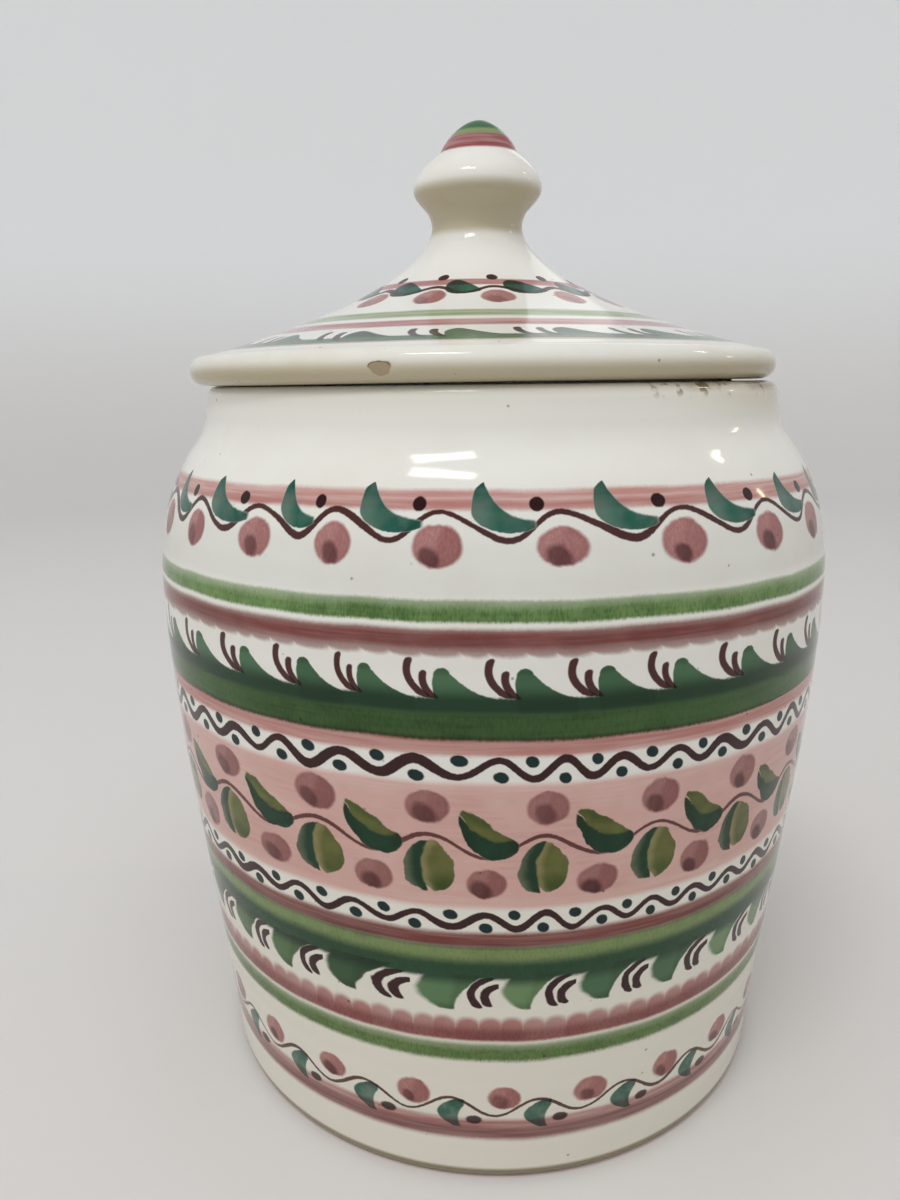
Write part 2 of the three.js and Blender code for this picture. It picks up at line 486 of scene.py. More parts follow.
class Painter:
    """One glazed surface: its node tree, its coordinates in millimetres and degrees, its colour so far."""

    def __init__(self, name, center=0.0):
        self.material = bpy.data.materials.new(name)
        self.material.use_nodes = True
        self.tree = self.material.node_tree
        self.tree.nodes.clear()
        self.seed = 0
        self.fields = {}
        place = self.tree.nodes.new("ShaderNodeTexCoord").outputs["Object"]
        scaled = self.vector_math("MULTIPLY", place, (1 / MM,) * 3)
        self.place = self.vector_math("SUBTRACT", scaled, (center, 0, 0))
        x, y, self.z = self.parts(self.place)
        self.radius = (x.squared() + y.squared()).root()
        self.turn = x.math("ARCTAN2", -y) * math.degrees(1)
        self.cloud = self.noise(0.07, detail=3)
        wobble, self.drift, _ = self.parts(self.noise(0.05, 2, "Color", (1, 1, 0)))
        ragged, _, _ = self.parts(self.noise(1.3, 1, "Color"))
        self.height = self.z + (wobble - 0.5) * 1.1 + (ragged - 0.5) * 0.3
        self.color = None

    # Nodes

    def vector_math(self, operation, first, second):
        node = self.tree.nodes.new("ShaderNodeVectorMath")
        node.operation = operation
        self.tree.links.new(first, node.inputs[0])
        node.inputs[1].default_value = second
        return node.outputs["Vector"]

    def parts(self, socket):
        kind = "ShaderNodeSeparateXYZ" if socket.type == "VECTOR" else "ShaderNodeSeparateColor"
        node = self.tree.nodes.new(kind)
        self.tree.links.new(socket, node.inputs[0])
        return [Field(self.tree, output) for output in node.outputs]

    def noise(self, scale, detail=2.0, output="Fac", stretch=None):
        """Smooth noise with a scale in waves per millimetre; stretch squeezes it along x, y and z."""
        place = self.place if stretch is None else self.vector_math("MULTIPLY", self.place, stretch)
        node = self.tree.nodes.new("ShaderNodeTexNoise")
        node.inputs["Scale"].default_value = scale
        node.inputs["Detail"].default_value = detail
        self.tree.links.new(place, node.inputs["Vector"])
        socket = node.outputs[output]
        return socket if output == "Color" else Field(self.tree, socket)

    def mixed(self, factor, first, second, kind="MIX"):
        return mixed(self.tree, factor, first, second, kind)

    def oval(self, across, up, wide, tall, blur=BLUR):
        node = self.tree.nodes.new("ShaderNodeCombineXYZ")
        feed(self.tree, across / wide, node.inputs[0])
        feed(self.tree, up / tall, node.inputs[1])
        long = self.tree.nodes.new("ShaderNodeVectorMath")
        long.operation = "LENGTH"
        self.tree.links.new(node.outputs[0], long.inputs[0])
        soft = blur / (wide + tall)
        return Field(self.tree, long.outputs["Value"]).rise(1 + soft, 1 - soft)

    def kept(self, name, scale, detail, stretch, low, high):
        """One noise from 0 to 1 that several strokes share."""
        if name not in self.fields:
            self.fields[name] = self.noise(scale, detail, stretch=stretch).rise(low, high)
        return self.fields[name]

    def hairs(self):
        """Short upright marks of the brush's hairs."""
        return self.kept("hairs", 1.0, 3, (2.2, 2.2, 0.8), 0.38, 0.72)

    def streaks(self):
        """Level streaks that a brush leaves on a turning pot."""
        return self.kept("streaks", 1.0, 3, (0.05, 0.05, 1.2), 0.32, 0.7)

    def pools(self):
        """Patches where thin paint gathered while it dried."""
        return self.kept("pools", 0.28, 3, (1, 1, 1), 0.35, 0.7)

    # Paint

    def ground(self, stain_and_shade=None):
        """Bare tin glaze, a little warmer in clouds and warmer and darker where the given share says, with
        a few iron specks; several callers paint shade with that share.
        """
        warmth_and_shade = self.cloud.rise(0.38, 0.85) * 0.3
        if stain_and_shade is not None:
            warmth_and_shade = warmth_and_shade.above(stain_and_shade)
        self.color = self.mixed(warmth_and_shade, GLAZE_PALE, GLAZE_WARM_AND_SHADE)
        node = self.tree.nodes.new("ShaderNodeTexVoronoi")
        node.inputs["Scale"].default_value = SPECK_SPREAD
        self.tree.links.new(self.place, node.inputs["Vector"])
        distance = Field(self.tree, node.outputs["Distance"]) / SPECK_SPREAD
        chance, _, _ = self.parts(node.outputs["Color"])
        self.wash(SPECK, within(distance - chance * SPECK_SIZE, 0.3) * 0.7)

    def low_shade(self):
        """Painted shade: how much warmer and darker the glaze is made towards the foot, from 0 to 1, for
        weaker light from above and warm bounced light.
        """
        return self.z.rise(125, 30) * 0.62

    def shade_belly(self):
        """Painted shade: a slightly greyer band between the shoulder and the upper ring, where the upright
        belly gets less light from above.
        """
        self.wash(BELLY_SHADE, self.z.rise(162, 149) * self.z.rise(141.5, 143.5))

    def sector(self, start, full, fading, end):
        """1 over part of a turn: it grows between the first two places and fades between the others."""
        return self.turn.rise(start, full) * self.turn.rise(end, fading)

    def droop(self):
        """Let the painted rings sink on the two sides."""
        on_right = self.sector(0, 62, 110, 175)
        on_left = self.sector(0, -62, -110, -175)
        self.height = self.height + (on_right * SAG_RIGHT + on_left * SAG_LEFT) * self.z.rise(85, 108)

    def wash(self, tint, mask):
        """Lay a see-through paint where a mask says."""
        self.color = self.mixed(mask, self.color, tint, "MULTIPLY")

    def graded(self, tint, *steps):
        """A tint that changes on the way up; a step is a tint and the heights where it takes over."""
        for other, low, high in steps:
            tint = self.mixed(self.height.rise(low, high), tint, other)
        return tint

    def between(self, low, high, blur=0.5, ragged=0.0):
        height = self.height + ragged * (self.hairs() - 0.5) if ragged else self.height
        return (height - low).below(high - height).rise(-blur / 2, blur / 2)

    def stripe(self, low, high, tint, blur, pale, start=None):
        """A brushed ring: grainy, thicker in patches and after its start, paler along its upper edge."""
        mask = self.between(low, high, blur, 0.14)
        fade = self.height.rise(high - 2.6, high + 0.3)
        self.wash(tint, mask * (1 - pale * fade))
        heavy = self.hairs() * 0.45 + self.streaks() * 0.2 + self.pools() * 0.22
        heavy = heavy + self.cloud.rise(0.42, 0.7) * 0.25
        if start is not None:
            after = self.sector(start - 0.4, start + 0.4, start + 5, start + 75)
            heavy = heavy + after * 0.3
        self.wash(SHADE, mask * heavy * (1 - 0.8 * fade))

    def soft_band(self, low, high, tint, blur=1.2, thin=0.3):
        """A thin wash that the turning wheel spread in streaks, with soft edges."""
        self.wash(tint, self.between(low, high, blur) * (1 - thin * self.streaks()))

    def berry(self, across, up, wide, tall, chances, tint=BERRY, drop=1.0):
        """An oval of thin paint, darker on one side, with the drop that the brush leaves."""
        across = across + (chances[1] - 0.5) * 1.4
        up = up * (0.9 + 0.2 * chances[0]) + (self.pools() - 0.5) * 0.45
        mask = self.oval(across, up, wide, tall, 0.9)
        self.wash(tint, mask * (0.98 - 0.1 * self.hairs()))
        self.wash(BERRY_SIDE, mask * (across - 0.3 * up).rise(-1.2, 0.6) * (0.3 + 0.5 * chances[2]))
        self.wash(BERRY_SIDE, mask * (1 - self.oval(across, up, wide * 0.86, tall * 0.86, 1.4)) * 0.3)
        size = 0.85 + 0.45 * chances[0]
        drop_across = (across + wide * (0.08 + 0.3 * chances[2])) / size
        drop_up = (up + tall * (0.35 + 0.25 * chances[1])) / size
        spot = self.oval(drop_across + 0.25 * drop_up, drop_up, wide * 0.42, tall * 0.52, 1.3)
        self.wash(BERRY_DROP, spot * mask * (0.65 + 0.35 * chances[1]) * drop)

    def dash(self, across, bend, low, high, curls, half, tint=INK):
        """A comma stroke with round ends that bows to the left at one height, curled below and above it."""
        up = self.height - bend
        below, above = up.below(0), up.above(0)
        bow = below.squared() * curls[0] + above.squared() * curls[1]
        steep = 1 + 0.7 * ((below * (2 * curls[0])).squared() + (above * (2 * curls[1])).squared())
        beyond = (low - self.height).above(self.height - high).above(0)
        distance = ((across - bow).squared() / steep + beyond.squared()).root()
        self.wash(tint, within(distance - half))

    def finish(self, rough=0.05, rough_spread=0.07):
        """Join the colour to a glossy glaze with a faint orange peel."""
        nodes, links = self.tree.nodes, self.tree.links
        shader = nodes.new("ShaderNodeBsdfPrincipled")
        links.new(self.color, shader.inputs["Base Color"])
        feed(self.tree, self.cloud * rough_spread + rough, shader.inputs["Roughness"])
        shader.inputs["IOR"].default_value = GLAZE_IOR
        shader.inputs["Specular IOR Level"].default_value = GLAZE_SHINE
        bump = nodes.new("ShaderNodeBump")
        bump.inputs["Strength"].default_value = PEEL_STRENGTH
        bump.inputs["Distance"].default_value = PEEL_DEPTH
        feed(self.tree, self.noise(PEEL_SCALE, 2), bump.inputs["Height"])
        links.new(bump.outputs["Normal"], shader.inputs["Normal"])
        output = nodes.new("ShaderNodeOutputMaterial")
        links.new(shader.outputs["BSDF"], output.inputs["Surface"])
        return self.material


class Row:
    """Motifs side by side round a piece: some at turns seen in the photo, the rest spaced evenly."""

    def __init__(self, painter, count, seen, radius):
        self.painter, self.count = painter, count
        self.pitch = 2 * math.pi * radius / count
        gap = (seen[0] + 360 - seen[-1]) / (count - len(seen) + 1)
        start = len(seen) - 1 + (180 - seen[-1]) / gap - count
        node = painter.tree.nodes.new("ShaderNodeFloatCurve")
        curve = node.mapping.curves[0]
        curve.points[0].location = (0, 0)
        curve.points[1].location = (1, 1)
        for index, turn in enumerate(seen):
            curve.points.new((turn + 180) / 360, (index - start) / count)
        for point in curve.points:
            point.handle_type = "VECTOR"
        node.mapping.update()
        feed(painter.tree, painter.turn / 360 + 0.5, node.inputs["Value"])
        steps = Field(painter.tree, node.outputs[0]) * count + start
        self.steps = steps + (painter.drift - 0.5) * 0.12

    def cells(self, shift=0.0):
        """Distance across from a motif's middle, and its own three chances; shift is part of a step."""
        p = self.painter
        p.seed += 1
        wrapped = (self.steps + (0.5 - shift)).math("WRAP", self.count, 0)
        index = wrapped.math("FLOOR")
        across = (wrapped - index - 0.5) * self.pitch
        node = p.tree.nodes.new("ShaderNodeTexWhiteNoise")
        node.noise_dimensions = "1D"
        feed(p.tree, index + 17.3 * p.seed, node.inputs["W"])
        return across, p.parts(node.outputs["Color"])

    def vine(self, shift, middle, swing, width, spread=0.75, tint=VINE, lag=0.0, clear=None, waver=0.0):
        """A waving line, thick and thin, its crests at a shift from the motifs.

        lag makes its hollows late, waver makes its swings uneven, and clear spares what lies over it.
        """
        p = self.painter
        phase = (self.steps - shift) * (2 * math.pi)
        if lag:
            phase = phase + lag * (phase.math("COSINE") - 1)
        slope = (2 * math.pi * swing / self.pitch) * phase.math("SINE")
        pressure = p.noise(0.06, 1, stretch=(1, 1, 0.2)).rise(0.25, 0.75)
        half = (1 + slope.squared()).root() * (pressure * spread + 1 - 0.55 * spread) * (width / 2)
        wave = phase.math("COSINE")
        if waver:
            wave = wave * (1 + waver * (p.drift - 0.55))
        line = middle + swing * wave
        mask = within((p.height - line).size() - half)
        p.wash(tint, mask if clear is None else mask * (1 - clear))


def hump(across, up, head, tall, tail, power=1.6):
    """A wave that stands on a band: a round head on the left, a hollow slope to the right."""
    right = across.above(0)
    top = (right / tail).math("POWER", power).fading() * tall
    crown = (up / (0.5 * tall) - 1).above(0).below(1)
    left = (1 - crown.squared()).root() * -head + (0.5 * tall - up).above(0) * 0.12
    return within((up - top) * 0.8) * within(left - across)


# Rows of painting on the pot, from the shoulder down: the rings' lower and upper edges, the motifs' heights

SHOULDER_RING, GREEN_RING, DAB_EDGES = (158.6, 162.2), (138.1, 142.3), (132.2, 136.9)
WAVE_BAND, PINK_STRIP, ROSE_BAND = (114.4, 123.3), (111.1, 115.0), (76.2, 105.2)
MAROON_STRIP, TOOTH_BAND, SCALLOP_FOOT = (66.2, 70.1), (57.9, 66.5), (41.0, 44.6)
LOW_GREEN_RING, FOOT_BAND = (35.2, 40.1), (12.2, 18.0)
SHOULDER_TIP, SHOULDER_DOT, SHOULDER_VINE, SHOULDER_BERRY = 163.2, 159.7, 155.7, 152.0
WAVE_FOOT, UPPER_RIPPLE, LOWER_RIPPLE, TOOTH_TIP, SCALLOP_MIDDLE = 122.8, 108.3, 72.9, 49.7, 44.4
HIGH_BERRY, LOW_BERRY, ROSE_VINE, HANGING_LEAF, RESTING_LEAF = 99.7, 82.1, 90.9, 86.0, 93.4
FOOT_BERRY, FOOT_VINE, FOOT_LEAF, FOOT_DOT = 24.4, 21.5, 23.7, 17.8

SHOULDER_LEAVES = (-58, -45, -29, -16.5, -1.3, 15.2, 32.3, 48.7)


def horn(p, across, up, chances):
    """A horn that starts at its upper left tip and sweeps down and to the right."""
    along = across / (0.95 + 0.3 * chances[0])
    drop = up + 4.4
    bowl = p.oval(along - 5.5, drop.below(0), 6.95, 4.3)
    outer = drop.above(0).squared() * 0.045 - 1.4 + (up + 1.4).above(0).squared() * 0.4
    inner = ((along - 0.6).above(0) / 2.8).fading() * 7.4 - 6.7
    edges = within((up - inner) * 0.6) * within(outer - along) * within(along - 10.0, 0.8)
    return bowl * edges * within(up - 0.2 - 0.2 * along)


def shoulder_row(p):
    row = Row(p, count=23, seen=SHOULDER_LEAVES, radius=83.4)
    across, chances = row.cells(0.26)
    across = across + 5.9
    up = p.height - SHOULDER_TIP
    leaf = horn(p, across, up, chances)
    bare = 1 - 0.8 * leaf
    p.wash(ROSE, p.between(*SHOULDER_RING, 1.2) * (1 - 0.3 * p.streaks()) * bare)
    p.wash(ROSE, p.between(158.8, 160.2, 1.0) * 0.35 * bare)
    p.wash(INK, p.oval(across - 11.2 + chances[1], p.height - SHOULDER_DOT, 1.45, 1.3))
    row.vine(-0.33, SHOULDER_VINE, 2.6, 1.2, lag=0.22, clear=leaf * 0.8)
    p.wash(TEAL, leaf * (1 - 0.08 * p.pools() - 0.1 * across.rise(4.5, 0) * up.rise(-1.5, -4)))
    dark_ends = (up.rise(-2.2, -0.3) * 0.6).above(p.pools() * 0.45).above(across.rise(4.5, 9.5) * 0.4)
    p.wash(TEAL_DARK, leaf * dark_ends)
    across, chances = row.cells(-0.33)
    p.berry(across, p.height - SHOULDER_BERRY, 4.7, 3.8, chances)


def shoulder_paint():
    p = Painter("shoulder_paint")
    p.droop()
    # Painted shade: warmer, darker glaze just under the lid, most on the right side that turns from the
    # light
    shade_under_lid = p.z.rise(171, 181) * (0.35 + 0.65 * p.sector(25, 70, 120, 175))
    p.ground(shade_under_lid * 0.9)
    # Painted shade on the upright belly
    p.shade_belly()
    # Painted shade: a warm darkening of the neck's right side
    p.wash(WARM_SHADE, p.z.rise(168, 178) * p.sector(25, 60, 120, 175) * 0.45)
    # Painted shadow of the lid's rim on the lip
    p.wash(GRIME_AND_SHADE, p.z.rise(178.9, 180.9) * 0.4)
    crumbs = p.noise(0.35, 2).rise(0.54, 0.66) * p.sector(20, 30, 60, 80)
    p.wash(GRIME_AND_SHADE, p.z.rise(177.6, 180.2) * crumbs)
    p.wash(STAIN, p.z.rise(178.6, 180.6) * p.turn.rise(24, 45) * p.cloud.rise(0.42, 0.6) * 0.8)
    shoulder_row(p)
    return p.finish()


WAVE_HEADS = (-47, -35.5, -24.6, -16, -5.8, 4.6, 15.1, 25.5, 37.6, 48.6)


def wave_row(p):
    row = Row(p, count=34, seen=WAVE_HEADS, radius=87.6)
    across, chances = row.cells(0.15)
    across = across + 2.43
    up = p.height - WAVE_FOOT
    crest = p.oval(across + 0.1, up - 4.9, 1.65, 1.55)
    wave = hump(across, up, 2.0, 6.4, 5.1, 1.35).above(crest) * within(-2.6 - up)
    mask = wave.above(p.between(*WAVE_BAND, 0.8, 0.14))
    p.wash(p.graded(FERN, (PINE, 119.0, 121.0), (SAGE, 122.2, 126.4)), mask)
    on_front = p.sector(-50, -20, 2, 28)
    heavy = p.hairs() * 0.35 + p.streaks() * 0.3 + p.cloud.rise(0.45, 0.7) * 0.3 + on_front * 0.3
    p.wash(SHADE, p.between(WAVE_BAND[0], 119.8, 1.0) * heavy)
    p.wash(SHADE, wave * up.rise(4.6, 5.8) * 0.5)
    p.wash(SHADE, wave * chances[2].rise(0.3, 0.9) * 0.45)
    across, _ = row.cells(-0.33)
    p.dash(across + 1.75, 128.6, 124.0, 130.4, (0.147, 0.1), 0.82, VINE)
    p.dash(across - 1.45, 127.2, 123.8, 128.0, (0.147, 0.1), 0.78, VINE)


def pink_strip(p):
    p.soft_band(*PINK_STRIP, ROSE, 1.3)
    p.wash(ROSE, p.between(112.0, PINK_STRIP[1], 1.6) * 0.4)


def dab_ring(p):
    """A ring of slanting dabs that overlap, their rounded ends hanging below it."""
    lap = (p.turn * (84 / 360) + (p.drift - 0.5) * 2 + p.height * 0.12).math("FRACT")
    middle = (lap * (1 - lap) * 4).root()
    low, high = DAB_EDGES
    mask = within((low - middle * 0.8 - p.height).above(p.height - high), 1.2)
    thin = (0.3 * p.height.rise(135.4, 137.4)).above(0.28 * p.height.rise(134.2, 131.8))
    p.wash(MAROON, mask * (1 - thin) * (1 - 0.07 * p.streaks()))
    heavy = middle * 0.2 + p.cloud.rise(0.4, 0.7) * 0.3
    p.wash(MAROON_DARK, mask * p.between(132.8, 136.0, 2.4) * heavy)


def scallop_ring(p):
    """Round dabs that stand side by side on a darker ring."""
    row = Row(p, count=104, seen=(0.0,), radius=80.0)
    across, chances = row.cells()
    across = across + (chances[0] - 0.5) * 0.7
    up = p.height - SCALLOP_MIDDLE + (chances[1] - 0.5) * 0.5
    mask = p.oval(across, up, 3.0, 2.9, 2.0).above(p.between(*SCALLOP_FOOT, 1.1))
    p.wash(BERRY, mask * (0.78 + 0.17 * chances[2]))
    p.wash(BERRY_SIDE, mask * (across - 0.5 * up).rise(1.4, -2.6) * (0.1 + 0.25 * chances[0]))
    p.wash(ROSE_DEEP, mask * p.height.rise(46.4, 42.6) * (0.68 + 0.2 * p.hairs()))
    heavy = 0.25 + 0.3 * p.cloud.rise(0.4, 0.7)
    p.wash(MAROON_DARK, mask * p.between(SCALLOP_FOOT[0], 44.2, 2.0) * heavy)


def upper_bands_paint():
    p = Painter("upper_bands_paint")
    p.droop()
    p.ground()
    # Painted shade on the upright belly
    p.shade_belly()
    p.stripe(*GREEN_RING, GRASS, 0.9, 0.3, start=-27)
    dab_ring(p)
    wave_row(p)
    pink_strip(p)
    return p.finish()


UPPER_CRESTS = (-48.5, -39.5, -30.3, -20, -9.7, 1.5, 10.2, 17.6, 26.2, 34, 43.3)
LOWER_CRESTS = (-48, -39.3, -30, -20, -10.5, -0.4, 8.2, 16.6, 24.5, 32, 39.8, 47.5)


def ripple_row(p, crests, middle, swing, width):
    """A thick wavy line with a dot in each hollow."""
    row = Row(p, count=39, seen=crests, radius=86.0)
    row.vine(0, middle, swing, width, 0.5, INK, waver=1.6)
    for shift, lift in ((0.0, -0.88 * swing), (0.5, 0.92 * swing)):
        across, chances = row.cells(shift)
        across = across + (chances[0] - 0.5) * 1.2
        up = p.height - (middle + lift) + (chances[1] - 0.5) * 0.5
        p.wash(DOT, p.oval(across + 0.15 * up, up, 1.45, 1.25))


VINE_CRESTS = (-44, -24.6, -8.2, 7.7, 23.9, 39.5)


def hanging_leaf(p, across, up, chances):
    """Two strokes that start together at the vine: slate on the left, olive on the right."""
    wavy = (p.noise(0.3, 2) - 0.5) * 1.6
    across = across + wavy
    mask = p.oval(across * (1 + 0.03 * up), up + wavy, 5.4, 6.2)
    side = across + 1.6 - up.squared() * 0.05
    mask = mask * (1 - within(side.size() + up * 0.42 + 1.9))
    left = p.mixed(side.rise(-4.0, -1.2), SLATE, CRESCENT)
    right = p.mixed(side.rise(0.4, 2.6), OLIVE_PALE, OLIVE)
    p.wash(p.mixed(side.rise(-0.25, 0.35), left, right), mask)
    p.wash(OLIVE_DARK, mask * side.rise(0.4, 1.6) * up.rise(-0.5, -4.6) * (0.4 + 0.6 * chances[0]))
    p.wash(OLIVE_DARK, mask * p.pools() * 0.35)


def resting_leaf(p, across, up, chances):
    """A boat in the vine's hollow: a dark crescent round olive; some are parted at the upper left."""
    wavy = (p.noise(0.3, 2) - 0.5) * 1.6
    along = 1.12 * across + 0.32 * up - 0.6 + wavy
    over = 0.26 * across + 0.97 * up + wavy
    mask = p.oval(along, over / (1 - 0.05 * along), 6.3, 4.9)
    mask = mask * within(over - 4.3 + 0.5 * (along + 2).above(0), 0.6)
    side = over + 0.7 - 0.045 * along.squared() - 0.07 * along.below(0).squared()
    gap = within((side - 0.5).size() + 0.3 * along + 1.25) * along.rise(-3.4, -4.4)
    mask = mask * (1 - 0.85 * gap * chances[1].rise(0.4, 0.6))
    p.wash(p.mixed(side.rise(-0.4, 0.5), CRESCENT, OLIVE), mask)
    p.wash(OLIVE_DARK, mask * side.rise(1.2, 3.6) * (0.2 + 0.6 * chances[0]))
    p.wash(OLIVE_DARK, mask * (along.size().rise(2.0, 5.5) * 0.7).above(p.pools() * 0.4))
    return mask


def rose_band_row(p):
    row = Row(p, count=22, seen=VINE_CRESTS, radius=85.7)
    p.soft_band(*ROSE_BAND, ROSE_PALE, 2.0, 0.2)
    p.wash(ROSE, p.between(78, 104, 4) * p.streaks() * p.cloud.rise(0.3, 0.6) * 0.4)
    across, chances = row.cells()
    p.berry(across, p.height - HIGH_BERRY, 4.5, 4.0, chances, BERRY_ON_ROSE)
    low_across, low_chances = row.cells(0.5)
    p.berry(low_across, p.height - LOW_BERRY, 4.3, 3.75, low_chances, BERRY_ON_ROSE)
    hanging_leaf(p, across, p.height - HANGING_LEAF, chances)
    leaf = resting_leaf(p, low_across, p.height - RESTING_LEAF, low_chances)
    row.vine(0, ROSE_VINE, 2.6, 0.95, 0.6, VINE_ON_ROSE, clear=leaf * 0.85)


def maroon_strip(p):
    p.soft_band(*MAROON_STRIP, MAROON, 1.7, 0.12)
    p.wash(MAROON_DARK, p.between(66.0, 68.6, 2.0) * (0.25 + 0.4 * p.cloud.rise(0.35, 0.7)))


def middle_paint():
    p = Painter("middle_paint")
    p.droop()
    # Painted shade: warmer, darker glaze towards the foot
    p.ground(p.low_shade())
    pink_strip(p)
    ripple_row(p, UPPER_CRESTS, UPPER_RIPPLE, 1.95, 1.9)
    rose_band_row(p)
    ripple_row(p, LOWER_CRESTS, LOWER_RIPPLE, 1.65, 1.7)
    maroon_strip(p)
    return p.finish()


TOOTH_TIPS = (-46, -35, -22, -6, 6, 18.2, 29.8, 42.4)


def tooth(across, up):
    """A tooth that hangs from a band: a round left side, its tip at the right, a hollow right side."""
    left = (up / 5.5).above(0).below(1).math("POWER", 0.55) * -6.2 - 0.6
    left = left + (up - 3.2).above(0) * 0.4
    right = across - 0.9 - up.squared() * 0.075
    return within(right, 0.6) * within(left - across, 1.6) * within(-up, 0.6)


def tooth_row(p):
    row = Row(p, count=30, seen=TOOTH_TIPS, radius=82.0)
    across, chances = row.cells(0.117)
    across = across + 2.0 + (p.noise(0.3, 2) - 0.5) * 1.2
    up = p.height - TOOTH_TIP + (chances[0] - 0.5) * 0.8
    hanging = tooth(across, up) * within(up - 9.6)
    mask = hanging.above(p.between(*TOOTH_BAND, 1.3))
    light = p.mixed(chances[2].rise(0.45, 0.75), SAGE_PALE, SAGE)
    p.wash(p.graded(light, (PINE_LOW, 55.2, 58.4), (MOSS, 61.2, 64.2)), mask)
    heavy = p.hairs() * 0.3 + p.pools() * 0.12 + p.cloud.rise(0.45, 0.7) * 0.15
    p.wash(SHADE, p.between(*TOOTH_BAND, 1.2) * heavy)
    p.wash(SHADE, hanging * p.turn.rise(-12, -18) * 0.75)
    p.wash(SHADE, hanging * up.rise(2.6, 0.4) * 0.5)
    p.wash(SHADE, hanging * (across - 0.2 * up).rise(-1.2, 0.8) * 0.4)
    p.dash(across - 4.7, 54.0, 50.9, 57.6, (0.11, 0.22), 0.88)
    p.dash(across - 7.5, 53.2, 51.4, 55.9, (0.14, 0.28), 0.98)


def lower_bands_paint():
    p = Painter("lower_bands_paint")
    # Painted shade: warmer, darker glaze towards the foot
    p.ground(p.low_shade())
    maroon_strip(p)
    tooth_row(p)
    scallop_ring(p)
    p.stripe(*LOW_GREEN_RING, GRASS_LOW, 1.6, 0.3)
    return p.finish()


FOOT_LEAVES = (-36.5, -21.5, -6.5, 8.4, 23.5, 38)


def fin_leaf(p, across, up):
    """A fin that hangs from the vine and leans to the right at its top."""
    left = (up + 4.2).squared() * 0.26 - 3.3
    right = across - ((up + 5.6).squared() * 0.1 + 1.7).below(3.1)
    mask = within((left - across).above(right), 0.5) * within((up + 0.2).above(-8.2 - up), 0.6)
    p.wash(TEAL, mask * (0.97 - 0.12 * p.pools()))
    p.wash(TEAL_DARK, mask * up.rise(-3.2, -0.2) * 0.7)


def foot_row(p):
    row = Row(p, count=24, seen=FOOT_LEAVES, radius=78.6)
    p.soft_band(*FOOT_BAND, ROSE_DEEP, 1.8)
    p.wash(MAROON_DARK, p.between(FOOT_BAND[0], 15.8, 2.4) * 0.95)
    across, chances = row.cells(-0.42)
    p.berry(across, p.height - FOOT_BERRY, 3.9, 3.35, chances)
    row.vine(0, FOOT_VINE, 2.4, 0.9, tint=VINE_THIN)
    across, _ = row.cells()
    fin_leaf(p, across, p.height - FOOT_LEAF)
    across, _ = row.cells(0.26)
    p.wash(INK, p.oval(across, p.height - FOOT_DOT, 1.9, 1.25, 0.6) * 0.95)


def foot_paint():
    p = Painter("foot_paint")
    # Painted shade: warmer, darker glaze near the bottom and a dark line where the foot's rounded edge
    # turns under
    p.ground(p.low_shade().above(p.z.rise(4.0, 1.5)))
    p.wash(GRIME_AND_SHADE, p.z.rise(3.6, 2.4))
    foot_row(p)
    return p.finish()


def plain_glaze():
    p = Painter("plain_glaze")
    p.ground(p.cloud.rise(0.3, 0.9) * 0.5)
    return p.finish(0.12)


def bare_clay():
    """Fired clay where the glaze was wiped off: foot and recess."""
    p = Painter("bare_clay")
    p.color = p.mixed(p.cloud, CLAY_RED, CLAY_PALE)
    p.wash(CLAY_SHADE, p.pools() * 0.5)
    return p.finish(0.55, 0.3)


# Painting on the lid. Heights on its cone are distances up the slope from the rim's top edge.

CONE_SLANT = 1.058
LID_FINS = (-44, -24.5, -3.2, 17, 38)
LID_BERRIES = (-45, -18, 7, 35.5)
LID_PINK_RING, FIN_BAND, LID_ROSE_RING = (1.0, 4.4), (4.6, 8.8), (16.8, 21.6)
LID_GREEN_RING, LID_TOP_RING = (24.0, 28.6), (44.4, 47.4)
FIN_FOOT, LID_BERRY, LID_VINE, LID_LEAF, LID_DOT = 7.6, 37.4, 41.6, 42.6, 48.3


def fin_row(p):
    row = Row(p, count=17, seen=LID_FINS, radius=61.5)
    p.soft_band(*LID_PINK_RING, ROSE, 1.4)
    across, chances = row.cells(0.22)
    across = across + 5.0
    fin = hump(across, p.height - FIN_FOOT, 2.8, 6.6, 6.5) * within(6.2 - p.height)
    mask = fin.above(p.between(*FIN_BAND, 1.4))
    tint = p.mixed((0.3 + 0.7 * chances[0]) * p.height.rise(7.0, 9.5), SAGE, PINE)
    p.wash(tint, mask)
    across, _ = row.cells(-0.34)
    p.dash(across + 2.3, 13.0, 8.0, 13.6, (0.09, 0.05), 0.92)
    p.dash(across - 2.6, 12.6, 7.8, 13.0, (0.09, 0.05), 0.92)


def lid_leaf_row(p):
    row = Row(p, count=14, seen=LID_BERRIES, radius=34.5)
    p.soft_band(*LID_TOP_RING, ROSE_DEEP, 0.8, 0.15)
    across, chances = row.cells()
    p.berry(across, p.height - LID_BERRY, 3.5, 4.2, chances, drop=0.6)
    p.wash(INK, p.oval(across, p.height - LID_DOT, 1.7, 1.4))
    row.vine(0, LID_VINE, 1.7, 1.6, 0.4)
    across, _ = row.cells(0.47)
    up = p.height - LID_LEAF + across * 0.24
    leaf = p.oval(across, up / (1 - 0.09 * across), 5.0, 3.5)
    p.wash(TEAL, leaf)
    p.wash(TEAL_DARK, leaf * across.rise(2.0, -2.0) * 0.8)


